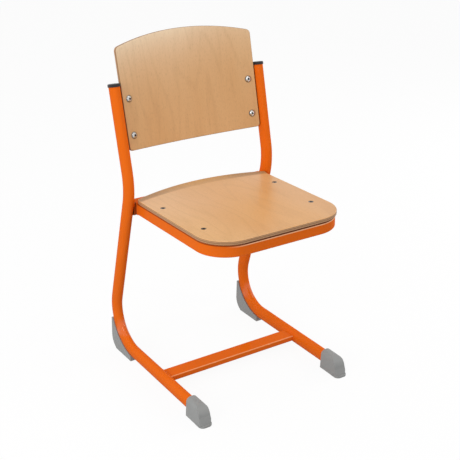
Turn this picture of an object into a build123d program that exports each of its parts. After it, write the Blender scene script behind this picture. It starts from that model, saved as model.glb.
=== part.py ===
from build123d import *
import os
from math import asin, cos, degrees, radians, sin, sqrt, tan

os.makedirs("parts", exist_ok=True)

# Driving dimensions: millimetres and degrees, floor at zero, front towards -Y, sitter's left at +X.
overall_depth = 480.5
frame_spacing = 395.2

# Oval side tube and its line, from the capped upright down to the skid
tube_width = 24.8
tube_depth = 35.6
tube_wall = 2.0
skid_clearance = 8.4
rear_bend_radius = 96.0
leg_angle = 17.5
knee_height = 476.2
knee_bend_radius = 160.0
upright_lean = 12.85
upright_length = 246.0
side_splay = 0.4
side_toe = 0.35
weld_gap = 0.2

# Plywood seat
seat_height = 457.6
seat_pitch = 1.3
seat_width = 370.0
seat_past_rail = 8.0
seat_thickness = 10.0
seat_front_radius = 80.0
seat_rear_arc = 540.0
seat_rear_corner = 5.0
lip_arc = 650.0
lip_run = 24.0
lip_angle = 32.0
lip_trim = 8.0
seat_edge_round = 2.0

# Rectangular tubes under the seat
frame_side_inset = 2.0
frame_front_inset = 4.0
frame_tube_width = 15.0
frame_tube_height = 30.0
frame_tube_wall = 1.5
frame_tube_corner = 2.5
rail_depth = 34.0

# Floor crossbar
bar_depth = 40.0
bar_height = 15.0
bar_wall = 1.5
bar_corner = 3.0
bar_to_rear = 254.5

# Plywood backrest
back_height = 270.0
back_thickness = 9.0
back_radius = 850.0
back_forward = 1.5
back_side_clearance = 1.6
back_top_arc = 660.0
back_top_corner = 12.0
back_bottom_corner = 9.0
back_edge_round = 2.0

# Backrest fixings
back_bolt_x = 168.5
back_bolt_rise = 35.7
back_bolt_spacing = 86.5
bolt_to_tube_top = 32.5
back_head_diameter = 15.6
back_head_height = 4.0
back_tab_height = 34.0
back_tab_reach = 14.0
back_tab_gap = 0.2
back_head_gap = 0.1

# Seat fixings
front_bolt_x = 149.2
front_bolt_y = 104.5
rear_bolt_x = 160.0
rear_bolt_y = 268.2
seat_head_diameter = 12.6
seat_head_sink = 0.3
countersink_angle = 90.0
seat_tab_width = 34.0
seat_tab_reach = 14.0

# Shared fasteners
tab_thickness = 4.0
bolt_diameter = 6.0
bolt_clearance = 0.3
nut_clearance = 0.1
bolt_tail = 2.0
socket_across = 5.0
socket_depth = 2.2
washer_diameter = 14.0
washer_thickness = 1.6
nut_across = 10.0
nut_height = 5.0

# Upright end caps
cap_rim = 1.6
cap_height = 7.0
cap_round = 2.2
cap_plug_depth = 14.0
cap_plug_gap = 0.3

# Front glides
front_glide_setback = 20.0
front_glide_length = 66.0
front_glide_width = 28.4
front_sole_width = 33.0
front_glide_roof = 4.5
front_glide_shoulder = 12.0
front_glide_grip = 40.0
nose_run = 30.0
nose_height = 22.0
nose_slope = 8.0
nose_corner = 9.0
foot_lip_reach = 4.0
foot_lip_height = 4.0
foot_lip_flare = 0.5
foot_lip_length = 22.0
foot_lip_corner = 12.0
glide_gap = 0.2

# Rear glides
rear_glide_width = 25.0
rear_sole_start = 8.4
rear_sole_length = 82.0
rear_sole_step = 1.8
rear_back_height = 34.0
rear_tip_height = 85.0
rear_face_inset = 4.0
rear_cup_depth = 6.75

# Rivets that hold the rear glides
rivet_offset = 34.0
rivet_diameter = 5.0
rivet_head_diameter = 9.0
rivet_head_height = 3.0
rivet_head_sink = 1.5
rivet_tail = 6.0

SIDES = {"left": 1, "right": -1}

# The side tube's line in its own plane
front_y = -overall_depth / 2
tube_x = frame_spacing / 2
skid_axis = skid_clearance + tube_depth / 2
bend_y = overall_depth / 2 - rear_bend_radius - tube_depth / 2
bend_z = skid_axis + rear_bend_radius
leg_slope = tan(radians(leg_angle))
heel_y = bend_y + rear_bend_radius / tan(radians(45 - leg_angle / 2))
knee_y = heel_y - (knee_height - skid_axis) * leg_slope
up_y = sin(radians(upright_lean))
up_z = cos(radians(upright_lean))
top_y = knee_y + upright_length * up_y
top_z = knee_height + upright_length * up_z
back_rise = upright_length - bolt_to_tube_top - back_bolt_spacing - back_bolt_rise
glide_rear_y = front_y + front_glide_setback + front_glide_length
skid_front_y = glide_rear_y - front_glide_grip

# Working planes: the seat's top face from its front edge, and the plane of the uprights from the knee
pitch_sin = sin(radians(seat_pitch))
pitch_cos = cos(radians(seat_pitch))
seat_plane = Plane(origin=(0, front_y, seat_height), x_dir=(1, 0, 0), z_dir=(0, pitch_sin, pitch_cos))
back_plane = Plane(origin=(0, knee_y, knee_height), x_dir=(1, 0, 0), z_dir=(0, up_y, up_z))

# The rear rail is centred on the legs at its own height, and the seat ends just behind its middle
rail_drop = seat_thickness + frame_tube_height / 2
rail_climb = (seat_height - rail_drop * pitch_cos - skid_axis) * leg_slope
rail_y = (heel_y - front_y + rail_drop * pitch_sin - rail_climb) / (pitch_cos - pitch_sin * leg_slope)
seat_depth = rail_y + seat_past_rail


def side_plane(side):
    """Plane of one side tube's line: x runs to the rear and toes in, y runs up and splays out."""
    toe_in = side * tan(radians(side_toe))
    splay_out = side * tan(radians(side_splay))
    return Plane(origin=(side * tube_x, 0, 0), x_dir=(-toe_in, 1, 0), z_dir=(1, toe_in, -splay_out))


def tube_point(side, y, z):
    """Point on the plane of one side tube's line."""
    return side_plane(side).from_local_coords((y, z, 0))


def oval_tube(side, grow=0.0, hollow=False):
    """One side tube, swept from the upright's top end to the skid's front end."""
    plane = side_plane(side)
    with BuildPart() as tube:
        with BuildLine(plane) as centreline:
            FilletPolyline(
                (top_y, top_z),
                (knee_y, knee_height),
                (heel_y, skid_axis),
                (skid_front_y, skid_axis),
                radius=[knee_bend_radius, rear_bend_radius],
            )
        path = centreline.wire()
        with BuildSketch(Plane(origin=path @ 0, x_dir=plane.z_dir, z_dir=path % 0)):
            Ellipse(tube_width / 2 + grow, tube_depth / 2 + grow)
            if hollow:
                Ellipse(tube_width / 2 - tube_wall, tube_depth / 2 - tube_wall, mode=Mode.SUBTRACT)
        sweep(path=path)
    return tube.part


def box_tube_section(width, height, corner, wall):
    """Rounded rectangular tube section, drawn in the open sketch."""
    RectangleRounded(width, height, corner)
    RectangleRounded(width - 2 * wall, height - 2 * wall, corner - wall, mode=Mode.SUBTRACT)


def seat_bolt_plane(x, y):
    """Plane on the seat's top face at one bolt."""
    return Plane(origin=seat_plane.from_local_coords((x, y, 0)), x_dir=(1, 0, 0), z_dir=seat_plane.z_dir)


def back_bolt_plane(side, rise):
    """Plane on the backrest's front face at one bolt, facing the sitter, with x towards the tube."""
    tilt = asin(back_bolt_x / back_radius)
    centre = back_plane.from_local_coords((side * back_bolt_x, -back_forward, back_rise + rise))
    outward = back_plane.from_local_coords((side * cos(tilt), -sin(tilt), 0)) - back_plane.origin
    facing = back_plane.from_local_coords((-side * sin(tilt), -cos(tilt), 0)) - back_plane.origin
    return Plane(origin=centre, x_dir=outward, z_dir=facing)


def save(part, node):
    """Label one finished piece and write it as its own file."""
    part.label = node
    export_step(part, f"parts/{node}.step")


# Places that several pieces share
bolt_hole = bolt_diameter / 2 + bolt_clearance
back_rises = (back_bolt_rise, back_bolt_rise + back_bolt_spacing)
back_bolt_planes = {
    name: [back_bolt_plane(side, rise) for rise in back_rises] for name, side in SIDES.items()
}
all_back_planes = back_bolt_planes["left"] + back_bolt_planes["right"]
seat_bolts_at = {
    "front": [(side * front_bolt_x, front_bolt_y) for side in SIDES.values()],
    "rear": [(side * rear_bolt_x, rear_bolt_y) for side in SIDES.values()],
}
all_seat_planes = [seat_bolt_plane(x, y) for points in seat_bolts_at.values() for x, y in points]
weld_envelope = {name: oval_tube(side, grow=weld_gap) for name, side in SIDES.items()}
glide_envelope = {name: oval_tube(side, grow=glide_gap) for name, side in SIDES.items()}
rivet_y = bend_y + rivet_offset
rivet_seat_z = rivet_head_sink + rivet_head_height
rivet_tube_z = bend_z - sqrt((rear_bend_radius + tube_depth / 2) ** 2 - rivet_offset**2)
rivet_x = tube_point(1, rivet_y, rivet_tube_z).X

# Side frames: one bent oval tube each, drilled under the heel for the rear glide's rivet
for name, side in SIDES.items():
    with BuildPart() as side_frame:
        add(oval_tube(side, hollow=True))
        with BuildSketch(Plane(origin=(side * rivet_x, rivet_y, 0))):
            Circle(rivet_diameter / 2 + bolt_clearance)
        extrude(amount=rivet_tube_z + tube_depth / 2, mode=Mode.SUBTRACT)
    save(side_frame.part, f"{name}_side_frame")

# Seat frame: a U of rectangular tube on edge, its ends against the rear rail
frame_half = seat_width / 2 - frame_side_inset - frame_tube_width / 2
frame_front = frame_front_inset + frame_tube_width / 2
frame_end = rail_y - rail_depth / 2
with BuildPart() as seat_frame:
    with BuildLine(seat_plane.offset(-rail_drop)) as u_line:
        FilletPolyline(
            (-frame_half, frame_end),
            (-frame_half, frame_front),
            (frame_half, frame_front),
            (frame_half, frame_end),
            radius=seat_front_radius - frame_side_inset - frame_tube_width / 2,
        )
    u_path = u_line.wire()
    with BuildSketch(Plane(origin=u_path @ 0, x_dir=(1, 0, 0), z_dir=u_path % 0)):
        box_tube_section(frame_tube_width, frame_tube_height, frame_tube_corner, frame_tube_wall)
    sweep(path=u_path)
save(seat_frame.part, "seat_frame")

# Rear cross rail between the uprights, saddled to both tubes
between_tubes = frame_spacing / 2 - tube_width / 4
rail_centre = seat_plane.from_local_coords((0, rail_y, -rail_drop))
with BuildPart() as rear_rail:
    with BuildSketch(Plane(origin=rail_centre, x_dir=seat_plane.y_dir, z_dir=(1, 0, 0))):
        box_tube_section(rail_depth, frame_tube_height, frame_tube_corner, frame_tube_wall)
    extrude(amount=between_tubes, both=True)
    for envelope in weld_envelope.values():
        add(envelope, mode=Mode.SUBTRACT)
save(rear_rail.part, "rear_cross_rail")

# Floor crossbar between the skids, saddled to both tubes
bar_y = overall_depth / 2 - bar_to_rear
with BuildPart() as crossbar:
    with BuildSketch(Plane(origin=(0, bar_y, skid_axis), x_dir=(0, 1, 0), z_dir=(1, 0, 0))):
        box_tube_section(bar_depth, bar_height, bar_corner, bar_wall)
    extrude(amount=between_tubes, both=True)
    for envelope in weld_envelope.values():
        add(envelope, mode=Mode.SUBTRACT)
save(crossbar.part, "floor_crossbar")

# Seat: a moulded panel whose rear edge is an arc that curls up into a lip
rear_arc_y = seat_depth - seat_rear_arc
lip_arc_y = seat_depth - lip_run - lip_arc
lip_top = lip_run / sin(radians(lip_angle))
lip_turn = radians(lip_angle + lip_trim)
lip_low = lip_top + seat_thickness
lip_half_sweep = 2 * asin(seat_width / 2 / lip_arc)
sweep_out = (sin(lip_half_sweep), cos(lip_half_sweep), 0)
sweep_across = (cos(lip_half_sweep), -sin(lip_half_sweep), 0)
lip_centre = seat_plane.from_local_coords((0, lip_arc_y, 0))
lip_plane = Plane(
    origin=lip_centre,
    x_dir=seat_plane.from_local_coords(sweep_out) - seat_plane.origin,
    z_dir=seat_plane.from_local_coords(sweep_across) - seat_plane.origin,
)


def lip_point(radius, turn):
    """Point of the lip's section on one of its two arcs, after a turn from the flat."""
    return (lip_arc + radius * sin(turn), lip_top - radius * cos(turn))


with BuildPart() as seat:
    with BuildSketch(seat_plane):
        with Locations((0, lip_arc_y)):
            Circle(lip_arc)
    extrude(amount=-seat_thickness)
    with BuildSketch(lip_plane):
        with BuildLine():
            ThreePointArc(lip_point(lip_top, 0), lip_point(lip_top, lip_turn / 2), lip_point(lip_top, lip_turn))
            Line(lip_point(lip_top, lip_turn), lip_point(lip_low, lip_turn))
            ThreePointArc(lip_point(lip_low, lip_turn), lip_point(lip_low, lip_turn / 2), lip_point(lip_low, 0))
            Line(lip_point(lip_low, 0), lip_point(lip_top, 0))
        make_face()
    revolve(axis=Axis(lip_centre, seat_plane.z_dir), revolution_arc=degrees(2 * lip_half_sweep))
    with BuildSketch(seat_plane) as seat_outline:
        Rectangle(seat_width, 2 * seat_depth, align=(Align.CENTER, Align.MIN))
        with Locations((0, rear_arc_y)):
            Circle(seat_rear_arc, mode=Mode.INTERSECT)
        fillet(seat_outline.vertices().group_by(Axis.Y)[0], seat_front_radius)
        fillet(seat_outline.vertices().group_by(Axis.Y)[-1], seat_rear_corner)
    extrude(amount=seat_depth, both=True, mode=Mode.INTERSECT)
    broad_edges = [edge for face in seat.faces().sort_by(SortBy.AREA)[-4:] for edge in face.edges()]
    fillet([edge for edge in broad_edges if broad_edges.count(edge) == 1], seat_edge_round)
    with Locations(*all_seat_planes):
        CounterSinkHole(bolt_hole, seat_head_diameter / 2 + seat_head_sink, counter_sink_angle=countersink_angle)
save(seat.part, "seat_panel")

# Backrest: a panel bent about an axis in front of it and parallel to the uprights
back_axis = sqrt(back_radius**2 - back_bolt_x**2)
upright_spread = (tube_point(1, top_y, top_z).X - tube_point(1, knee_y, knee_height).X) / upright_length
tube_x_at_back = tube_point(1, knee_y, knee_height).X + back_rise * upright_spread
back_half = tube_x_at_back - tube_width / 2 - back_side_clearance
back_half_high = back_half + 2 * back_height * upright_spread
front_view = Plane(
    origin=back_plane.from_local_coords((0, 0, back_rise)), x_dir=(1, 0, 0), z_dir=-back_plane.y_dir
)
with BuildPart() as backrest:
    with BuildSketch(back_plane):
        with Locations((0, -back_axis - back_forward)):
            Circle(back_radius + back_thickness)
            Circle(back_radius, mode=Mode.SUBTRACT)
        Rectangle(frame_spacing, frame_spacing, mode=Mode.INTERSECT)
    extrude(amount=back_rise + 2 * back_height)
    with BuildSketch(front_view) as back_outline:
        with BuildLine():
            Polyline(
                (-back_half, 0),
                (back_half, 0),
                (back_half_high, 2 * back_height),
                (-back_half_high, 2 * back_height),
                close=True,
            )
        make_face()
        with Locations((0, back_height - back_top_arc)):
            Circle(back_top_arc, mode=Mode.INTERSECT)
        fillet(back_outline.vertices().group_by(Axis.Y)[-1], back_top_corner)
        fillet(back_outline.vertices().group_by(Axis.Y)[0], back_bottom_corner)
    extrude(amount=back_half, both=True, mode=Mode.INTERSECT)
    broad_faces = backrest.faces().sort_by(SortBy.AREA)[-2:]
    fillet([edge for face in broad_faces for edge in face.edges()], back_edge_round)
    with Locations(*all_back_planes):
        Hole(bolt_hole, depth=2 * back_thickness)
save(backrest.part, "backrest_panel")

# Backrest tabs: plates behind the panel, welded to the uprights
back_tab_drop = back_thickness + back_tab_gap
for name, planes in back_bolt_planes.items():
    with BuildPart() as back_tabs:
        for plane in planes:
            with BuildSketch(plane.offset(-back_tab_drop)):
                with Locations((-back_tab_reach, 0)):
                    Rectangle(
                        back_tab_reach + tube_x - back_bolt_x,
                        back_tab_height,
                        align=(Align.MIN, Align.CENTER),
                    )
                Circle(bolt_hole, mode=Mode.SUBTRACT)
            extrude(amount=-tab_thickness)
        add(weld_envelope[name], mode=Mode.SUBTRACT)
    save(back_tabs.part, f"{name}_backrest_tabs")

# Seat tabs: plates under the panel, welded to the inside of the seat frame
frame_inside = frame_half - frame_tube_width / 2
for place, points in seat_bolts_at.items():
    with BuildPart() as seat_tabs:
        for x, y in points:
            reach = frame_inside - abs(x) + seat_tab_reach
            centre_x = (frame_inside - reach / 2) * (1 if x > 0 else -1)
            with BuildSketch(seat_plane.offset(-seat_thickness)):
                with Locations((centre_x, y)):
                    Rectangle(reach, seat_tab_width)
                with Locations((x, y)):
                    Circle(bolt_hole, mode=Mode.SUBTRACT)
            extrude(amount=-tab_thickness)
    save(seat_tabs.part, f"{place}_seat_tabs")


def washer():
    """Flat washer with its top face at the origin."""
    with BuildPart() as ring:
        with BuildSketch():
            Circle(washer_diameter / 2)
            Circle(bolt_hole, mode=Mode.SUBTRACT)
        extrude(amount=-washer_thickness)
    return ring.part


def nut():
    """Hexagon nut with its top face at the origin."""
    with BuildPart() as hexagon:
        with BuildSketch():
            RegularPolygon(nut_across / 2, 6, major_radius=False)
            Circle(bolt_diameter / 2 + nut_clearance, mode=Mode.SUBTRACT)
        extrude(amount=-nut_height)
    return hexagon.part


def hex_socket(top):
    """Hexagon key recess, cut from a height down into the open part."""
    with BuildSketch(Plane.XY.offset(top)) as recess:
        RegularPolygon(socket_across / 2, 6, major_radius=False)
    extrude(recess.sketch, amount=-socket_depth, mode=Mode.SUBTRACT)


def domed_bolt(length):
    """Bolt with a domed head that stands just clear of the origin plane and a shank below it."""
    half = back_head_diameter / 2
    head_top = back_head_gap + back_head_height
    crown = (half**2 + back_head_height**2) / (2 * back_head_height)
    mid_angle = asin(half / crown) / 2
    mid_point = (crown * sin(mid_angle), head_top - crown + crown * cos(mid_angle))
    with BuildPart() as bolt:
        with BuildSketch(Plane.XZ):
            with BuildLine():
                ThreePointArc((half, back_head_gap), mid_point, (0, head_top))
                Polyline(
                    (0, head_top),
                    (0, -length),
                    (bolt_diameter / 2, -length),
                    (bolt_diameter / 2, back_head_gap),
                    (half, back_head_gap),
                )
            make_face()
        revolve(axis=Axis.Z)
        hex_socket(head_top)
    return bolt.part


def flush_bolt(length):
    """Bolt with a countersunk head just below the origin plane and a shank below it."""
    half = seat_head_diameter / 2
    cone = (half - bolt_diameter / 2) / tan(radians(countersink_angle / 2))
    with BuildPart() as bolt:
        with BuildSketch(Plane.XZ):
            with BuildLine():
                Polyline(
                    (0, -seat_head_sink),
                    (half, -seat_head_sink),
                    (bolt_diameter / 2, -seat_head_sink - cone),
                    (bolt_diameter / 2, -length),
                    (0, -length),
                    close=True,
                )
            make_face()
        revolve(axis=Axis.Z)
        hex_socket(-seat_head_sink)
    return bolt.part


def fixing_set(prefix, planes, tab_bottom, bolt):
    """Bolts, washers and nuts of one panel, each kind as one group."""
    nut_top = tab_bottom + washer_thickness
    pieces = {
        "bolts": (bolt(nut_top + nut_height + bolt_tail), 0),
        "washers": (washer(), tab_bottom),
        "nuts": (nut(), nut_top),
    }
    for kind, (piece, drop) in pieces.items():
        with BuildPart() as group:
            with Locations(*[plane.offset(-drop) for plane in planes]):
                add(piece)
        save(group.part, f"{prefix}_{kind}")


fixing_set("backrest", all_back_planes, back_tab_drop + tab_thickness, domed_bolt)
fixing_set("seat", all_seat_planes, seat_thickness + tab_thickness, flush_bolt)

# Upright end caps: a domed oval rim with a plug that fills the tube's end
plug_shrink = tube_wall + cap_plug_gap
with BuildPart() as cap:
    with BuildSketch():
        Ellipse(tube_width / 2 + cap_rim, tube_depth / 2 + cap_rim)
    extrude(amount=cap_height)
    fillet(cap.faces().sort_by(Axis.Z)[-1].edges(), cap_round)
    with BuildSketch():
        Ellipse(tube_width / 2 - plug_shrink, tube_depth / 2 - plug_shrink)
    extrude(amount=-cap_plug_depth)
for name, side in SIDES.items():
    with BuildPart() as placed_cap:
        tube_end = tube_point(side, top_y, top_z)
        upward = tube_end - tube_point(side, knee_y, knee_height)
        with Locations(Plane(origin=tube_end, x_dir=side_plane(side).z_dir, z_dir=upward)):
            add(cap.part)
    save(placed_cap.part, f"{name}_upright_cap")

# Front glides: shoes closed over the skids' ends, with a steep nose and a flared lip
glide_top = skid_axis + tube_depth / 2 + front_glide_roof
nose_y = glide_rear_y - front_glide_length
for name, side in SIDES.items():
    glide_x = tube_point(side, (nose_y + glide_rear_y) / 2, skid_axis).X
    with BuildPart() as front_glide:
        with BuildSketch(Plane.YZ.offset(glide_x)):
            with BuildLine():
                Line((nose_y, 0), (glide_rear_y, 0))
                Line((glide_rear_y, 0), (glide_rear_y, glide_top))
                Line((glide_rear_y, glide_top), (nose_y + nose_run + nose_slope, glide_top))
                TangentArc(
                    (nose_y + nose_run + nose_slope, glide_top),
                    (nose_y + nose_slope, nose_height),
                    tangent=(-1, 0),
                )
                Line((nose_y + nose_slope, nose_height), (nose_y, 0))
            make_face()
        extrude(amount=front_sole_width / 2, both=True)
        with BuildSketch(Plane.XZ.offset(-glide_rear_y)) as section:
            with BuildLine():
                Polyline(
                    (glide_x - front_sole_width / 2, 0),
                    (glide_x + front_sole_width / 2, 0),
                    (glide_x + front_glide_width / 2, glide_top),
                    (glide_x - front_glide_width / 2, glide_top),
                    close=True,
                )
            make_face()
            fillet(section.vertices().group_by(Axis.Y)[-1], front_glide_shoulder)
        extrude(amount=front_glide_length, mode=Mode.INTERSECT)
        with BuildSketch() as plan:
            with Locations((glide_x, glide_rear_y)):
                Rectangle(front_sole_width, front_glide_length, align=(Align.CENTER, Align.MAX))
            fillet(plan.vertices().group_by(Axis.Y)[0], nose_corner)
        extrude(amount=glide_top, mode=Mode.INTERSECT)
        with BuildSketch() as lip_plan:
            with Locations((glide_x, nose_y - foot_lip_reach)):
                Rectangle(
                    front_sole_width + 2 * foot_lip_flare,
                    foot_lip_length + foot_lip_reach,
                    align=(Align.CENTER, Align.MIN),
                )
            fillet(lip_plan.vertices().group_by(Axis.Y)[0], foot_lip_corner)
        extrude(amount=foot_lip_height)
        add(glide_envelope[name], mode=Mode.SUBTRACT)
    save(front_glide.part, f"{name}_front_glide")

# Rear glides: crescents that cup the underside of the rear bends
cup_radius = rear_bend_radius + tube_depth / 2 - rear_cup_depth
tip_drop = bend_z - rear_tip_height
sole_front = bend_y + rear_sole_start
sole_back = sole_front + rear_sole_length
back_face = overall_depth / 2 - rear_face_inset
tip_outer = (bend_y + sqrt((rear_bend_radius + tube_depth / 2) ** 2 - tip_drop**2), rear_tip_height)
tip_inner = (bend_y + sqrt(cup_radius**2 - tip_drop**2), rear_tip_height)
cup_mid = (bend_y + cup_radius * sin(radians(45)), bend_z - cup_radius * cos(radians(45)))
cup_front = (sole_front, bend_z - sqrt(cup_radius**2 - rear_sole_start**2))
for name, side in SIDES.items():
    with BuildPart() as rear_glide:
        with BuildSketch(Plane.YZ.offset(side * rivet_x)):
            with BuildLine():
                Line((sole_front, 0), (sole_back, 0))
                Line((sole_back, 0), (sole_back, rear_sole_step))
                TangentArc((back_face, rear_back_height), (sole_back, rear_sole_step), tangent=(0, -1))
                Line((back_face, rear_back_height), tip_outer)
                Line(tip_outer, tip_inner)
                ThreePointArc(tip_inner, cup_mid, cup_front)
                Line(cup_front, (sole_front, 0))
            make_face()
        extrude(amount=rear_glide_width / 2, both=True)
        add(glide_envelope[name], mode=Mode.SUBTRACT)
        with Locations((side * rivet_x, rivet_y, 0)):
            Cylinder(
                rivet_diameter / 2 + bolt_clearance,
                rivet_tube_z + tube_depth,
                align=(Align.CENTER, Align.CENTER, Align.MIN),
                mode=Mode.SUBTRACT,
            )
            Cylinder(
                rivet_head_diameter / 2 + bolt_clearance,
                rivet_seat_z,
                align=(Align.CENTER, Align.CENTER, Align.MIN),
                mode=Mode.SUBTRACT,
            )
    save(rear_glide.part, f"{name}_rear_glide")

# Rivets up through the rear glides into the tubes
with BuildPart() as rivets:
    for side in SIDES.values():
        with BuildSketch(Plane(origin=(side * rivet_x, rivet_y, rivet_head_sink))):
            Circle(rivet_head_diameter / 2)
        extrude(amount=rivet_head_height)
        with BuildSketch(Plane(origin=(side * rivet_x, rivet_y, rivet_seat_z))):
            Circle(rivet_diameter / 2)
        extrude(amount=rivet_tube_z - rivet_seat_z + rivet_tail)
save(rivets.part, "rear_glide_rivets")
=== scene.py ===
from math import cos, radians, sin, sqrt

import bpy
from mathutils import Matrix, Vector


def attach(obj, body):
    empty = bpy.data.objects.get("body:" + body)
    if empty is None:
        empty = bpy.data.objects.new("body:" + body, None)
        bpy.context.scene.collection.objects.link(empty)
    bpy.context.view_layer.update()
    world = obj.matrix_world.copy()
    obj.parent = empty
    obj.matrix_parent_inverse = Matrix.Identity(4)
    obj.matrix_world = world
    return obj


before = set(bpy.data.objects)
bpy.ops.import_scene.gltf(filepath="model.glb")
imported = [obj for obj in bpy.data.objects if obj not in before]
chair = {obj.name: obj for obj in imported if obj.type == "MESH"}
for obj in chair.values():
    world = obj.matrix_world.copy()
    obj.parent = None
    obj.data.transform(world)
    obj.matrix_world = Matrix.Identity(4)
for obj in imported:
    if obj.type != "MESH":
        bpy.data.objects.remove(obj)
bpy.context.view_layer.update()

# Driving sizes repeated from the part's source, in metres and radians
OVERALL_DEPTH = 0.4805
TUBE_DEPTH = 0.0356
SKID_CLEARANCE = 0.0084
SIDE_SPLAY = radians(0.4)
SIDE_TOE = radians(0.35)
KNEE_HEIGHT = 0.4762
UPRIGHT_LEAN = radians(12.85)
UPRIGHT_LENGTH = 0.246
SEAT_HEIGHT = 0.4576
SEAT_PITCH = radians(1.3)
SEAT_WIDTH = 0.370
SEAT_THICKNESS = 0.010
SEAT_PAST_RAIL = 0.008
LIP_ARC = 0.650
LIP_RUN = 0.024
LIP_ANGLE = radians(32)
FRAME_SIDE_INSET = 0.002
FRAME_TUBE_WIDTH = 0.015
FRAME_TUBE_HEIGHT = 0.030
FRAME_TUBE_WALL = 0.0015
FRAME_TUBE_CORNER = 0.0025
RAIL_DEPTH = 0.034
BAR_DEPTH = 0.040
BAR_HEIGHT = 0.015
BAR_CORNER = 0.003
BAR_TO_REAR = 0.2545
BACK_HEIGHT = 0.270
BACK_THICKNESS = 0.009
BACK_RADIUS = 0.850
BACK_FORWARD = 0.0015
BACK_TOP_ARC = 0.660
BACK_BOLT_X = 0.1685
BACK_BOLT_RISE = 0.0357
BACK_BOLT_SPACING = 0.0865
BOLT_TO_TUBE_TOP = 0.0325
BACK_TAB_HEIGHT = 0.034
FRONT_BOLT_ALONG = 0.1045
REAR_BOLT_ALONG = 0.2682
SEAT_TAB_WIDTH = 0.034
TAB_THICKNESS = 0.004

# Places that the part's source works out, in metres
KNEE_Y = 0.11549
SEAT_DEPTH = 0.38082

# Places worked out from the sizes above
FRONT_Y = -OVERALL_DEPTH / 2
RAIL_AT = SEAT_DEPTH - SEAT_PAST_RAIL
RAIL_DROP = SEAT_THICKNESS + FRAME_TUBE_HEIGHT / 2
FRAME_X = SEAT_WIDTH / 2 - FRAME_SIDE_INSET - FRAME_TUBE_WIDTH / 2
BAR_Y = OVERALL_DEPTH / 2 - BAR_TO_REAR
BAR_Z = SKID_CLEARANCE + TUBE_DEPTH / 2
UPPER_BOLT_ALONG = UPRIGHT_LENGTH - BOLT_TO_TUBE_TOP
LOWER_BOLT_ALONG = UPPER_BOLT_ALONG - BACK_BOLT_SPACING
BACK_TOP = LOWER_BOLT_ALONG - BACK_BOLT_RISE + BACK_HEIGHT

# A ring is drawn at its start and thrown outward, and what stays there or lands past the reach is deleted
WELD_START = 0.160
BACK_TAB_START = 0.175
WELD_REACH = 0.1925

# Turns that face a flat ring to the chair's side and pitch it with the seat
FACING_SIDE = ("Y", radians(90))
PITCHED = ("X", SEAT_PITCH)

# Weld beads, by the radius of the bead, and the rings that they follow
RAIL_BEAD = 0.0018
SEAT_FRAME_BEAD = 0.0015
BACK_TAB_BEAD = 0.0014
BACK_TAB_CORNER = 0.0008
BACK_TAB_BEHIND = 0.0054
SEAT_TAB_BEAD = 0.0013
SEAT_TAB_CORNER = 0.0006
SEAT_TAB_RING = 0.002
SEAT_TAB_DROP = 0.013

# Plates that close the rail's ends from inside, with a small gap to its walls
PLATE_X = 0.1845
PLATE_THICKNESS = 0.002
PLATE_BEVEL = 0.0004
PLATE_GAP = 0.0003
PLATE_INSET = FRAME_TUBE_WALL + PLATE_GAP
PLATE_DEPTH = RAIL_DEPTH - 2 * PLATE_INSET
PLATE_HEIGHT = FRAME_TUBE_HEIGHT - 2 * PLATE_INSET

# Colours of the paint, its painted shade in crevices and gaps, and its painted highlights on edges, in linear
# light
ORANGE_DEEP = (0.80, 0.140, 0.007)
ORANGE_BRIGHT = (0.85, 0.154, 0.009)
CREVICE_SHADE = (0.15, 0.026, 0.005)
SEAT_FRAME_SHADOW = (0.16, 0.028, 0.006)
RAIL_SHADE = (0.17, 0.035, 0.008)
SEAT_FRAME_HIGHLIGHT = (1.0, 0.52, 0.28)
CROSSBAR_HIGHLIGHT = (1.0, 0.52, 0.26)

# Colours of the plywood in linear light, with painted shade in crevices, on the rear lip and round the bolts,
# and a painted sheen at the backrest's top
STREAK_TINT = (0.79, 0.75, 0.68)
FLECK_TINT = (0.62, 0.58, 0.52)
DARK_LAYER = (0.31, 0.155, 0.068)
PALE_LAYER = (0.58, 0.315, 0.155)
GLUE = (0.15, 0.070, 0.030)
END_GRAIN = (0.28, 0.140, 0.062)
WOOD_CREVICE_SHADE = (0.13, 0.060, 0.022)
SEAT_PALE_TONE = (0.86, 0.56, 0.29)
SEAT_WARM_TONE = (0.72, 0.355, 0.098)
LIP_SHADE = (0.40, 0.210, 0.084)
TOP_SHEEN = (1.0, 0.84, 0.62)
BOLT_SHADOW_RING = (0.22, 0.115, 0.045)

# Colours of painted shade on metal, in linear light
BOLT_SHADE = (0.03, 0.028, 0.026)
STEEL_SHADOW = (0.02, 0.02, 0.02)

# The polished spot on each rear bend: its distance from the chair's middle, its y and its height
BEND_RUB = (0.197, 0.185, 0.072)

# Plywood layers, the depth of the face veneer and the run of the backrest's painted sheen
PLY_LAYERS = 5
VENEER_DEPTH = 0.0011
SHEEN_RUN = 0.055

# Sockets of a Mix node that blends colours
MIX_LOW = 6
MIX_HIGH = 7
MIX_RESULT = 2

# Floor, surroundings, lamps and the photograph's camera
FLOOR_SIZE = 30.0
FLOOR_DROP = 0.0004
WORLD_STRENGTH = 0.55
CHAIR_MIDDLE = (0, 0, 0.42)
KEY_PLACE = (1.70, -2.10, 2.00)
CAMERA_PLACE = (-1.1881, -1.8378, 1.3070)
CAMERA_TILT = radians(90 - 23.22)
CAMERA_TURN = radians(-33.078)
SENSOR_WIDTH_MM = 36.0
FOCAL_LENGTH_MM = 76.594


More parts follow.
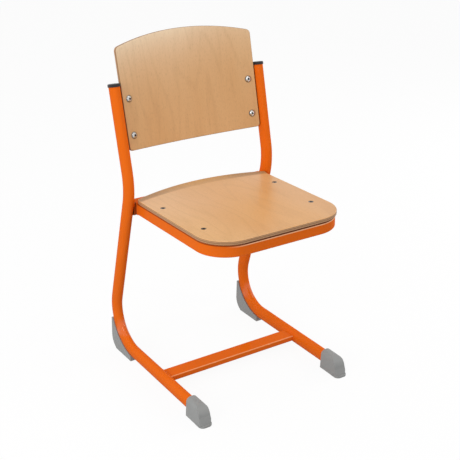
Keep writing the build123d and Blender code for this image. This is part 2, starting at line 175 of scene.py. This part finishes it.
class Reading:
    """A number on a surface, read from a shader socket; sums with it add Math nodes."""

    def __init__(self, finish, socket):
        self.finish = finish
        self.socket = socket

    def math(self, operation, *others):
        """The result of one Math node on this reading and others."""
        values = dict(enumerate((self, *others)))
        return self.finish.node("ShaderNodeMath", {"operation": operation}, values)

    def __add__(self, other):
        return self.math("ADD", other)

    def __mul__(self, other):
        return self.math("MULTIPLY", other)

    def __sub__(self, other):
        return self.math("SUBTRACT", other)

    def __rsub__(self, other):
        return (self * -1) + other

    def __truediv__(self, other):
        return self.math("DIVIDE", other)

    __radd__ = __add__
    __rmul__ = __mul__

    def clamp(self):
        """This reading held between 0 and 1."""
        return self.finish.node("ShaderNodeClamp", {}, {"Value": self})

    def step(self, low, high):
        """0 below low, 1 above high, and a smooth rise between them."""
        settings = {"interpolation_type": "SMOOTHSTEP"}
        sockets = {"Value": self, "From Min": low, "From Max": high}
        return self.finish.node("ShaderNodeMapRange", settings, sockets)


class Finish:
    """The nodes of one material or of the surroundings, made node by node."""

    def __init__(self, owner, shader="BSDF_PRINCIPLED", **fixed):
        self.owner = owner
        owner.use_nodes = True
        self.tree = owner.node_tree
        self.surface = next(n for n in self.tree.nodes if n.type == shader)
        for socket, value in fixed.items():
            self.surface.inputs[socket.replace("_", " ")].default_value = value

    @classmethod
    def material(cls, name, **fixed):
        """A new material."""
        return cls(bpy.data.materials.new(name), **fixed)

    def node(self, kind, settings, sockets, out=0):
        """Adds one node, sets it, fills its sockets and returns the reading of one output."""
        made = self.tree.nodes.new(kind)
        for name, value in settings.items():
            setattr(made, name, value)
        for key, value in sockets.items():
            if isinstance(value, Reading):
                self.tree.links.new(value.socket, made.inputs[key])
            else:
                made.inputs[key].default_value = value
        return Reading(self, made.outputs[out])

    def feed(self, socket, reading):
        """Links a reading to one socket of the main shader."""
        self.tree.links.new(reading.socket, self.surface.inputs[socket])

    def here(self):
        """The object coordinates of a point of the surface, as one vector in metres."""
        return self.node("ShaderNodeTexCoord", {}, {}, "Object")

    def place(self):
        """The three object coordinates of a point of the surface, in metres."""
        here = self.here()
        return [self.node("ShaderNodeSeparateXYZ", {}, {"Vector": here}, axis) for axis in "XYZ"]

    def spot(self, x, y, z):
        """A vector of three readings or numbers."""
        return self.node("ShaderNodeCombineXYZ", {}, {"X": x, "Y": y, "Z": z})

    def noise(self, vector, scale, detail=2.0, roughness=0.5, distortion=0.0):
        """Cloudy noise between 0 and 1 at a place."""
        sockets = {"Vector": vector, "Scale": scale, "Detail": detail, "Roughness": roughness}
        return self.node("ShaderNodeTexNoise", {}, {**sockets, "Distortion": distortion}, "Fac")

    def blend(self, factor, low, high):
        """A colour between two colours."""
        sockets = {"Factor": factor, MIX_LOW: low, MIX_HIGH: high}
        for key in (MIX_LOW, MIX_HIGH):
            if not isinstance(sockets[key], Reading):
                sockets[key] = (*sockets[key], 1.0)
        return self.node("ShaderNodeMix", {"data_type": "RGBA"}, sockets, MIX_RESULT)

    def darken(self, factor, colour, tint):
        """A colour multiplied by a tint where the factor is 1."""
        settings = {"data_type": "RGBA", "blend_type": "MULTIPLY"}
        sockets = {"Factor": factor, MIX_LOW: colour, MIX_HIGH: (*tint, 1.0)}
        return self.node("ShaderNodeMix", settings, sockets, MIX_RESULT)

    def seen_directly(self):
        """1 for rays from the camera, from mirror surfaces and through clear ones, and 0 for other rays."""
        kinds = ("Is Camera Ray", "Is Glossy Ray", "Is Transmission Ray")
        camera, glossy, through = (self.node("ShaderNodeLightPath", {}, {}, kind) for kind in kinds)
        return camera.math("MAXIMUM", glossy).math("MAXIMUM", through)

    def crevice(self, distance):
        """0 on open faces, rising to 1 deep in corners narrower than a distance."""
        return 1 - self.node("ShaderNodeAmbientOcclusion", {"samples": 8}, {"Distance": distance}, "AO")

    def bump(self, height, distance, strength=1.0):
        """Feeds a height to the surface's normal through one bump node."""
        sockets = {"Height": height, "Distance": distance, "Strength": strength}
        self.feed("Normal", self.node("ShaderNodeBump", {}, sockets))


def orange_powder_coat(name, painted_light_at=None):
    """Semi-gloss orange powder coat with a fine orange-peel skin, painted shade in its crevices, and painted
    shade and highlights where a piece has them.
    """
    coat = Finish.material(name, Coat_Roughness=0.08, Specular_IOR_Level=0.0)
    here = coat.here()
    drift = coat.noise(here, scale=9.0, detail=3.0)
    paint = coat.blend(drift, ORANGE_DEEP, ORANGE_BRIGHT)
    if painted_light_at:
        paint = painted_light_at(coat, paint)
    # Painted shade: the paint darkened in the corners and crevices that ambient occlusion finds
    shade_mask = coat.crevice(0.006).step(0.25, 0.95) * 0.75
    coat.feed("Base Color", coat.blend(shade_mask, paint, CREVICE_SHADE))
    coat.feed("Roughness", 0.30 + 0.10 * coat.noise(here, scale=60.0, detail=3.0))
    x, y, z = coat.place()
    polish = 1
    for middle, reading in zip(BEND_RUB, (x.math("ABSOLUTE"), y, z)):
        polish = polish * (1 - (reading - middle).math("ABSOLUTE").step(0.010, 0.024))
    coat.feed("Coat Weight", 0.07 + 0.04 * drift + 0.90 * polish)
    peel = coat.noise(here, scale=700.0)
    coat.bump(peel * (1 - 0.9 * polish), distance=0.00006, strength=0.6)
    return coat.owner


def plywood(name, depth_at, thickness, grain_frame, shade_at, pale, warm, rim_light_and_shade):
    """Lacquered beech plywood: a face veneer with grain, and layers that show at the edges."""
    ply = Finish.material(name, Coat_Roughness=0.30, Specular_IOR_Level=0.40)
    x, y, z = ply.place()
    across, along, level = grain_frame(x, y, z)
    depth = depth_at(across, along, level)

    # Broad tone, long figure lines, fibres and short pores of the face veneer
    tone = ply.noise(ply.spot(across, along * 0.35, level), scale=9.0)
    swirl = ply.noise(ply.spot(across, along * 0.22, level), scale=7.0, detail=2.5, distortion=0.4)
    rings = (swirl * 11.0).math("FRACT")
    line = (rings - 0.5).math("ABSOLUTE").step(0.30, 0.50)
    fibre_spot = ply.spot(across * 9.0, along * 0.35, level * 9.0)
    fibre = ply.noise(fibre_spot, scale=60.0, detail=4.0, roughness=0.65)
    fleck_spot = ply.spot(across * 2.6, along * 0.8, level * 2.6)
    fleck = ply.noise(fleck_spot, scale=180.0).step(0.52, 0.72)
    face = ply.blend(tone.step(0.25, 0.75), pale, warm)
    face = shade_at(ply, face, across, along)
    face = ply.darken(line * 0.22, face, STREAK_TINT)
    face = ply.darken((fibre - 0.35).clamp() * 0.80, face, STREAK_TINT)
    face = ply.darken(fleck * 0.26, face, FLECK_TINT)

    # Glued layers at the edges, dark and pale by turns, with a thin dark glue line between them
    layer = depth * (PLY_LAYERS / thickness)
    parity = (layer * 0.5).math("FRACT").step(0.47, 0.53)
    glue = (layer.math("FRACT") - 0.5).math("ABSOLUTE").step(0.42, 0.49)
    end_grain = ply.noise(ply.spot(x, y, z), scale=900.0)
    edge = ply.blend(parity, DARK_LAYER, PALE_LAYER)
    edge = ply.blend(glue * 0.7, edge, GLUE)
    edge = ply.blend((end_grain - 0.3).clamp() * 0.5, edge, END_GRAIN)

    # Face veneer outside, layers under it, and a painted rim where the two meet: a painted highlight on the
    # seat, painted shade on the backrest
    behind = thickness - depth
    under_front = depth.step(VENEER_DEPTH * 0.7, VENEER_DEPTH)
    under_back = behind.step(VENEER_DEPTH * 0.3, VENEER_DEPTH * 0.6)
    under = under_front * under_back
    rim = depth.math("MINIMUM", behind).step(VENEER_DEPTH * 0.2, VENEER_DEPTH * 0.4)
    face = ply.blend(rim * 0.85, face, rim_light_and_shade)
    wood = ply.blend(under, face, edge)
    # Painted shade in the corners and crevices that ambient occlusion finds
    wood = ply.blend(ply.crevice(0.006).step(0.15, 0.85) * 0.75, wood, WOOD_CREVICE_SHADE)
    ply.feed("Base Color", wood)
    ply.feed("Roughness", 0.32 + 0.12 * fibre + 0.15 * under)
    ply.feed("Coat Weight", 0.14 - 0.10 * under)
    height = fibre * 0.6 - fleck * 0.5 + end_grain * under * 0.6
    ply.bump(height, distance=0.00007, strength=0.7)
    return ply.owner


def seat_grain(x, y, z):
    """Seat coordinates: across, rearwards from the front edge, and above the top face."""
    back = y - FRONT_Y
    high = z - SEAT_HEIGHT
    along = back * cos(SEAT_PITCH) - high * sin(SEAT_PITCH)
    level = back * sin(SEAT_PITCH) + high * cos(SEAT_PITCH)
    return x, along, level


def seat_frame_painted_light(coat, paint):
    """The seat frame's paint, with a painted shadow just below the plywood and a painted highlight band below
    that, save on the right arm.
    """
    across, _, level = seat_grain(*coat.place())
    below = level * -1 - SEAT_THICKNESS
    off_right_arm = across.step(-0.15, -0.09)
    # Painted highlight band on the frame's upper edge, and above it a painted shadow band under the plywood
    highlight_mask = (1 - below.step(0.0064, 0.0072)) * off_right_arm
    shade_mask = (1 - below.step(0.0038, 0.0044)) * (0.65 + 0.35 * off_right_arm)
    paint = coat.blend(highlight_mask, paint, SEAT_FRAME_HIGHLIGHT)
    return coat.blend(shade_mask, paint, SEAT_FRAME_SHADOW)


def rail_painted_shade(coat, paint):
    """The rear rail's paint, with painted shade on the front in the corners beside the tubes."""
    across, along, _ = seat_grain(*coat.place())
    beside_tube = across.math("ABSOLUTE").step(0.181, 0.185)
    on_front = 1 - along.step(RAIL_AT - 0.012, RAIL_AT - 0.006)
    return coat.blend(beside_tube * on_front * 0.85, paint, RAIL_SHADE)


def crossbar_painted_highlight(coat, paint):
    """The crossbar's paint, with a painted highlight along its upper front edge."""
    _, y, z = coat.place()
    behind = y - (BAR_Y - BAR_DEPTH / 2)
    below = BAR_Z + BAR_HEIGHT / 2 - z
    highlight_mask = 1 - (behind + below).step(0.0018, 0.0025)
    return coat.blend(highlight_mask * 0.60, paint, CROSSBAR_HIGHLIGHT)


def past_lip_line(across, along):
    """Distance behind the arched line where the seat begins to curl up."""
    from_centre = along - (SEAT_DEPTH - LIP_RUN - LIP_ARC)
    return (across * across + from_centre * from_centre).math("SQRT") - LIP_ARC


def seat_layer_depth(across, along, level):
    """Depth below the seat's top face, which curls up at the rear."""
    lip_radius = LIP_RUN / sin(LIP_ANGLE)
    past = past_lip_line(across, along)
    rise = lip_radius - level
    curled = (past * past + rise * rise).math("SQRT") - lip_radius
    on_lip = past.math("GREATER_THAN", 0.0)
    return on_lip * curled + (1 - on_lip) * level * -1


def seat_shade(ply, face, across, along):
    """The seat's veneer, pale at the sitter's right, warm in the middle, and with painted shade on the bent
    rear lip.
    """
    pale_side = 1 - across.step(-0.15, -0.03)
    warm_middle = across.step(-0.09, 0.02) * (1 - across.step(0.07, 0.15))
    lip_shade_mask = past_lip_line(across, along).step(-0.001, 0.007)
    ends = across.math("ABSOLUTE").step(0.02, 0.16)
    face = ply.blend(pale_side * 0.35, face, SEAT_PALE_TONE)
    face = ply.blend(warm_middle * 0.60, face, SEAT_WARM_TONE)
    # Painted shade on the curled rear lip, deeper toward its ends
    return ply.blend(lip_shade_mask * (0.38 + 0.55 * ends), face, LIP_SHADE)


def back_grain(x, y, z):
    """Backrest coordinates: across, up along the uprights, and behind their middle plane."""
    back = y - KNEE_Y
    high = z - KNEE_HEIGHT
    along = back * sin(UPRIGHT_LEAN) + high * cos(UPRIGHT_LEAN)
    behind = back * cos(UPRIGHT_LEAN) - high * sin(UPRIGHT_LEAN)
    return x, along, behind


def back_layer_depth(across, along, behind):
    """Depth behind the backrest's curved front face."""
    axis = sqrt(BACK_RADIUS**2 - BACK_BOLT_X**2) + BACK_FORWARD
    out = behind + axis
    return (across * across + out * out).math("SQRT") - BACK_RADIUS


def bolt_distance(across, along, behind=-BACK_FORWARD):
    """Distance from the axis of the nearest backrest bolt, which leans to the chair's middle in front."""
    lean = (behind + BACK_FORWARD) * (BACK_BOLT_X / BACK_RADIUS)
    aside = across.math("ABSOLUTE") - lean - BACK_BOLT_X
    from_lower = (along - LOWER_BOLT_ALONG).math("ABSOLUTE")
    from_upper = (along - UPPER_BOLT_ALONG).math("ABSOLUTE")
    up = from_lower.math("MINIMUM", from_upper)
    return (aside * aside + up * up).math("SQRT")


def bolt_painted_shade(steel, metal):
    """A backrest bolt's metal, with painted shade in the key recess and round the rim."""
    from_axis = bolt_distance(*back_grain(*steel.place()))
    recess = 1 - from_axis.step(0.0024, 0.0032)
    rim = from_axis.step(0.0060, 0.0070)
    return steel.blend(recess * 0.90 + rim * 0.75, metal, BOLT_SHADE)


def back_shade(ply, face, across, along):
    """The backrest's veneer, with a painted sheen toward its arched top and the sitter's right, and a painted
    shadow round each bolt.
    """
    arch = along + across * across / (2 * BACK_TOP_ARC)
    # Painted sheen, strongest at the arched top and toward the sitter's right
    sheen_mask = ((arch - BACK_TOP) / SHEEN_RUN).math("EXPONENT").math("MINIMUM", 1.0)
    rightward = 1 - 0.55 * across.step(-0.05, 0.17)
    # Painted shadow on the wood round each bolt head
    bolt_shadow_mask = 1 - bolt_distance(across, along).step(0.0080, 0.0104)
    face = ply.blend(sheen_mask * rightward * 0.66, face, TOP_SHEEN)
    return ply.blend(bolt_shadow_mask * 0.60, face, BOLT_SHADOW_RING)


def moulded_plastic(name, dark, pale, roughness, grain):
    """Moulded plastic with a spark-eroded skin."""
    plastic = Finish.material(name, Specular_IOR_Level=0.35)
    here = plastic.here()
    cloud = plastic.noise(here, scale=26.0, detail=3.0)
    pebble = plastic.noise(here, scale=grain)
    plastic.feed("Base Color", plastic.blend(cloud * 0.6 + pebble * 0.4, dark, pale))
    plastic.feed("Roughness", roughness + 0.14 * pebble)
    plastic.bump(pebble, distance=0.0001, strength=0.7)
    return plastic.owner


def plated_steel(name, dark, pale, roughness, painted_light_at=None):
    """Plated steel with fine turning marks, a little cloudiness and painted shade in its crevices, and more
    painted shade where a piece has it.
    """
    steel = Finish.material(name, Metallic=1.0)
    here = steel.here()
    cloud = steel.noise(here, scale=160.0, detail=3.0)
    marks = steel.noise(here, scale=2600.0)
    metal = steel.blend(cloud, dark, pale)
    if painted_light_at:
        metal = painted_light_at(steel, metal)
    shadowed = steel.crevice(0.004).step(0.12, 0.65) * 0.9
    metal = steel.blend(shadowed, metal, STEEL_SHADOW)
    steel.feed("Base Color", metal)
    steel.feed("Roughness", roughness + 0.16 * marks)
    steel.bump(marks, distance=0.00002, strength=0.5)
    return steel.owner


def dress(material, *names):
    """Gives one material to CAD pieces."""
    for name in names:
        slots = chair[name].data.materials
        slots.clear()
        slots.append(material)


# Finishes of the CAD pieces
orange = orange_powder_coat("orange_powder_coat")
dress(
    orange,
    "left_side_frame",
    "right_side_frame",
    "left_backrest_tabs",
    "right_backrest_tabs",
    "front_seat_tabs",
    "rear_seat_tabs",
)
dress(orange_powder_coat("seat_frame_powder_coat", seat_frame_painted_light), "seat_frame")
dress(orange_powder_coat("rail_powder_coat", rail_painted_shade), "rear_cross_rail")
dress(orange_powder_coat("crossbar_powder_coat", crossbar_painted_highlight), "floor_crossbar")
seat_ply = plywood(
    "seat_plywood",
    seat_layer_depth,
    SEAT_THICKNESS,
    seat_grain,
    seat_shade,
    pale=(0.73, 0.402, 0.166),
    warm=(0.69, 0.357, 0.132),
    # Painted highlight on the seat's rounded rim
    rim_light_and_shade=(0.80, 0.440, 0.182),
)
dress(seat_ply, "seat_panel")
back_ply = plywood(
    "backrest_plywood",
    back_layer_depth,
    BACK_THICKNESS,
    back_grain,
    back_shade,
    pale=(0.71, 0.400, 0.170),
    warm=(0.67, 0.354, 0.135),
    # Painted shade on the backrest's rounded rim
    rim_light_and_shade=(0.16, 0.082, 0.034),
)
dress(back_ply, "backrest_panel")
glide_grey = moulded_plastic(
    "glide_plastic",
    dark=(0.275, 0.28, 0.275),
    pale=(0.335, 0.34, 0.335),
    roughness=0.46,
    grain=1900.0,
)
dress(glide_grey, "left_front_glide", "right_front_glide", "left_rear_glide", "right_rear_glide")
cap_black = moulded_plastic(
    "cap_plastic",
    dark=(0.012, 0.011, 0.012),
    pale=(0.020, 0.018, 0.019),
    roughness=0.40,
    grain=2400.0,
)
dress(cap_black, "left_upright_cap", "right_upright_cap")
bright_steel = plated_steel(
    "bright_steel",
    dark=(0.44, 0.43, 0.41),
    pale=(0.78, 0.76, 0.73),
    roughness=0.18,
    painted_light_at=bolt_painted_shade,
)
dress(bright_steel, "backrest_bolts")
dark_steel = plated_steel(
    "dark_steel",
    dark=(0.09, 0.09, 0.09),
    pale=(0.15, 0.15, 0.147),
    roughness=0.30,
)
dress(dark_steel, "seat_bolts")
zinc_steel = plated_steel(
    "zinc_steel",
    dark=(0.36, 0.36, 0.37),
    pale=(0.48, 0.48, 0.48),
    roughness=0.34,
)
dress(
    zinc_steel,
    "backrest_washers",
    "backrest_nuts",
    "seat_washers",
    "seat_nuts",
    "rear_glide_rivets",
)


def edit(piece):
    """Opens one piece alone for editing, with every vertex chosen."""
    bpy.ops.object.select_all(action="DESELECT")
    piece.select_set(True)
    bpy.context.view_layer.objects.active = piece
    bpy.ops.object.mode_set(mode="EDIT")
    bpy.ops.mesh.select_all(action="SELECT")


def finished(piece, name):
    """Names a painted piece and fixes it to the chair."""
    bpy.ops.object.mode_set(mode="OBJECT")
    piece.name = name
    piece.data.materials.clear()
    piece.data.materials.append(orange)
    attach(piece, "root")
    return piece


def weld_bead(name, width, height, corner, bead, turns, centre, tube=None):
    """A weld bead round a rectangular section's end, drawn flat, turned, moved and laid on a given tube."""
    bpy.ops.object.select_all(action="DESELECT")
    bpy.ops.mesh.primitive_plane_add(size=1.0)
    ring = bpy.context.object
    edit(ring)
    bpy.ops.transform.resize(value=(width, height, 1))
    bpy.ops.mesh.bevel(offset=corner, segments=3, affect="VERTICES")
    bpy.ops.mesh.delete(type="ONLY_FACE")
    bpy.ops.mesh.select_mode(type="VERT")
    bpy.ops.mesh.select_all(action="SELECT")
    bpy.ops.mesh.subdivide(number_cuts=5)
    for axis, angle in turns:
        bpy.ops.transform.rotate(value=angle, orient_axis=axis, center_override=(0, 0, 0))
    bpy.ops.transform.translate(value=centre)
    bpy.ops.object.mode_set(mode="OBJECT")
    if tube:
        wrap = ring.modifiers.new("wrap", "SHRINKWRAP")
        wrap.target = tube
        wrap.wrap_method = "PROJECT"
        wrap.use_project_x = True
        bpy.ops.object.modifier_apply(modifier="wrap")
        bpy.ops.object.mode_set(mode="EDIT")
        bpy.ops.mesh.select_all(action="DESELECT")
        bpy.ops.object.mode_set(mode="OBJECT")
        for point in ring.data.vertices:
            point.select = not centre[0] < point.co.x < WELD_REACH
        bpy.ops.object.mode_set(mode="EDIT")
        bpy.ops.mesh.delete(type="VERT")
        bpy.ops.object.mode_set(mode="OBJECT")
    bpy.ops.object.convert(target="CURVE")
    ring.data.bevel_depth = bead
    ring.data.bevel_resolution = 2
    ring.data.use_fill_caps = True
    bpy.ops.object.convert(target="MESH")
    edit(ring)
    bpy.ops.mesh.remove_doubles(threshold=0.000001)
    bpy.ops.transform.vertex_random(offset=bead * 0.12, normal=1.0, seed=4)
    bpy.ops.mesh.normals_make_consistent(inside=False)
    bpy.ops.object.mode_set(mode="OBJECT")
    bpy.ops.object.shade_smooth()
    return finished(ring, name)


def copied(piece, name, shift=(0, 0, 0), mirror=False):
    """A copy of a piece with its own mesh, moved, and perhaps mirrored to the chair's right side."""
    bpy.ops.object.select_all(action="DESELECT")
    piece.select_set(True)
    bpy.context.view_layer.objects.active = piece
    bpy.ops.object.duplicate(linked=False)
    copy = bpy.context.object
    edit(copy)
    bpy.ops.transform.translate(value=shift)
    if mirror:
        bpy.ops.transform.resize(value=(-1, 1, 1), center_override=(0, 0, 0))
        bpy.ops.mesh.normals_make_consistent(inside=False)
    return finished(copy, name)


def end_plate(name, size, turn, centre):
    """A thin closing plate with rounded corners inside the end of a box tube."""
    bpy.ops.object.select_all(action="DESELECT")
    bpy.ops.mesh.primitive_cube_add(size=1.0)
    plate = bpy.context.object
    edit(plate)
    bpy.ops.transform.resize(value=size)
    bpy.ops.mesh.bevel(offset=PLATE_BEVEL, segments=2, affect="EDGES")
    bpy.ops.transform.rotate(value=turn, orient_axis="X", center_override=(0, 0, 0))
    bpy.ops.transform.translate(value=centre)
    bpy.ops.mesh.normals_make_consistent(inside=False)
    bpy.ops.object.mode_set(mode="OBJECT")
    bpy.ops.object.shade_smooth_by_angle(angle=radians(30))
    return finished(plate, name)


def from_seat(x, along, level):
    """The world place of a point given in the seat's coordinates."""
    back = along * cos(SEAT_PITCH) + level * sin(SEAT_PITCH)
    high = level * cos(SEAT_PITCH) - along * sin(SEAT_PITCH)
    return (x, FRONT_Y + back, SEAT_HEIGHT + high)


def from_back(x, along, behind):
    """The world place of a point given in the backrest's coordinates."""
    back = along * sin(UPRIGHT_LEAN) + behind * cos(UPRIGHT_LEAN)
    high = along * cos(UPRIGHT_LEAN) - behind * sin(UPRIGHT_LEAN)
    return (x, KNEE_Y + back, KNEE_HEIGHT + high)


def mirrored(piece):
    """The right-hand copy of a left-hand piece."""
    return copied(piece, piece.name.replace("left", "right"), mirror=True)


def rail_welds():
    """Beads where the rear rail meets the tubes, and the plates inside its ends."""
    bead = weld_bead(
        "left_rail_weld",
        FRAME_TUBE_HEIGHT,
        RAIL_DEPTH,
        FRAME_TUBE_CORNER,
        RAIL_BEAD,
        [FACING_SIDE, PITCHED],
        from_seat(WELD_START, RAIL_AT, -RAIL_DROP),
        chair["left_side_frame"],
    )
    mirrored(bead)
    plate = end_plate(
        "left_rail_end_plate",
        (PLATE_THICKNESS, PLATE_DEPTH, PLATE_HEIGHT),
        SEAT_PITCH,
        from_seat(PLATE_X, RAIL_AT, -RAIL_DROP),
    )
    mirrored(plate)


def crossbar_welds():
    """Beads where the floor crossbar meets the skids."""
    bead = weld_bead(
        "left_crossbar_weld",
        BAR_HEIGHT,
        BAR_DEPTH,
        BAR_CORNER,
        RAIL_BEAD,
        [FACING_SIDE],
        (WELD_START, BAR_Y, BAR_Z),
        chair["left_side_frame"],
    )
    mirrored(bead)


def seat_frame_welds():
    """Beads where the seat frame's arms meet the rear rail."""
    bead = weld_bead(
        "left_seat_frame_weld",
        FRAME_TUBE_WIDTH,
        FRAME_TUBE_HEIGHT,
        FRAME_TUBE_CORNER,
        SEAT_FRAME_BEAD,
        [("X", radians(90) + SEAT_PITCH)],
        from_seat(FRAME_X, RAIL_AT - RAIL_DEPTH / 2, -RAIL_DROP),
    )
    mirrored(bead)


def backrest_tab_welds():
    """Beads where the backrest tabs meet the uprights, the upper copied from the lower."""
    lower = weld_bead(
        "left_lower_backrest_tab_weld",
        TAB_THICKNESS,
        BACK_TAB_HEIGHT,
        BACK_TAB_CORNER,
        BACK_TAB_BEAD,
        [FACING_SIDE, ("X", UPRIGHT_LEAN - radians(90))],
        from_back(BACK_TAB_START, LOWER_BOLT_ALONG, BACK_TAB_BEHIND),
        chair["left_side_frame"],
    )
    back = BACK_BOLT_SPACING * sin(UPRIGHT_LEAN)
    high = BACK_BOLT_SPACING * cos(UPRIGHT_LEAN)
    outward = SIDE_SPLAY * high - SIDE_TOE * back
    upper = copied(lower, "left_upper_backrest_tab_weld", (outward, back, high))
    mirrored(lower)
    mirrored(upper)


def seat_tab_welds():
    """Beads where the seat tabs meet the seat frame, the rear copied from the front."""
    front = weld_bead(
        "left_front_seat_tab_weld",
        SEAT_TAB_RING,
        SEAT_TAB_WIDTH,
        SEAT_TAB_CORNER,
        SEAT_TAB_BEAD,
        [FACING_SIDE, PITCHED],
        from_seat(FRAME_X - FRAME_TUBE_WIDTH / 2, FRONT_BOLT_ALONG, -SEAT_TAB_DROP),
    )
    spacing = REAR_BOLT_ALONG - FRONT_BOLT_ALONG
    shift = (0, spacing * cos(SEAT_PITCH), -spacing * sin(SEAT_PITCH))
    rear = copied(front, "left_rear_seat_tab_weld", shift)
    mirrored(front)
    mirrored(rear)


# Welds, made at the left and copied to the right
rail_welds()
crossbar_welds()
seat_frame_welds()
backrest_tab_welds()
seat_tab_welds()


def pale_floor():
    """Floor that looks white to the camera and in reflections, and keeps a soft shadow."""
    bpy.ops.object.select_all(action="DESELECT")
    bpy.ops.mesh.primitive_plane_add(size=FLOOR_SIZE, location=(0, 0, -FLOOR_DROP))
    floor = bpy.context.object
    floor.name = "floor"
    paper = Finish.material("floor_paper", Roughness=0.9, Specular_IOR_Level=0.1)
    seen = paper.seen_directly()
    paper.feed("Base Color", paper.blend(seen, (0.45, 0.45, 0.45), (0.92, 0.92, 0.92)))
    glow = paper.node("ShaderNodeEmission", {}, {"Color": (1, 1, 1, 1), "Strength": 1.0})
    shaded = Reading(paper, paper.surface.outputs[0])
    mixed = paper.node("ShaderNodeMixShader", {}, {0: seen * 0.93, 1: shaded, 2: glow})
    paper.tree.links.new(mixed.socket, paper.tree.nodes["Material Output"].inputs["Surface"])
    floor.data.materials.append(paper.owner)


def studio_world(strength):
    """Even white surroundings: full white where they are seen, softer as light."""
    world = bpy.data.worlds.new("studio")
    bpy.context.scene.world = world
    studio = Finish(world, "BACKGROUND", Color=(1, 1, 1, 1))
    studio.feed("Strength", studio.seen_directly() * (1 - strength) + strength)


def softbox(name, place, width, height, power, reflected=True, lighting=True):
    """One rectangular lamp that faces the chair, and may be left out of reflections or only be in them."""
    lamp = bpy.data.lights.new(name, "AREA")
    lamp.shape = "RECTANGLE"
    lamp.size = width
    lamp.size_y = height
    lamp.energy = power
    holder = bpy.data.objects.new(name, lamp)
    holder.location = place
    holder.visible_glossy = reflected
    holder.visible_diffuse = lighting
    facing = Vector(CHAIR_MIDDLE) - Vector(place)
    holder.rotation_euler = facing.to_track_quat("-Z", "Y").to_euler()
    bpy.context.scene.collection.objects.link(holder)


def photo_camera():
    """Camera at the photograph's viewing angle."""
    lens = bpy.data.cameras.new("photo_camera")
    lens.sensor_width = SENSOR_WIDTH_MM
    lens.lens = FOCAL_LENGTH_MM
    camera = bpy.data.objects.new("photo_camera", lens)
    camera.location = CAMERA_PLACE
    camera.rotation_euler = (CAMERA_TILT, 0, CAMERA_TURN)
    bpy.context.scene.collection.objects.link(camera)
    bpy.context.scene.camera = camera


# Studio and camera
pale_floor()
studio_world(WORLD_STRENGTH)
softbox("left_softbox", (-2.70, -0.90, 1.35), width=1.2, height=1.2, power=30.0, reflected=False)
softbox("high_softbox", (-2.05, -1.60, 2.30), width=0.55, height=0.45, power=10.0)
softbox("right_softbox", (2.80, 0.0, 1.20), width=1.4, height=1.4, power=30.0, reflected=False)
softbox("top_softbox", (0.0, 0.1, 3.0), width=1.6, height=1.6, power=10.0)
softbox("rear_softbox", (-2.40, 1.40, 1.60), width=1.4, height=1.4, power=8.0)
softbox("key_lamp", KEY_PLACE, width=0.40, height=0.40, power=8.0)
softbox("glint_strip", KEY_PLACE, width=0.70, height=0.22, power=8.0, lighting=False)
photo_camera()
bpy.context.scene.view_settings.view_transform = "Standard"

bpy.context.view_layer.update()
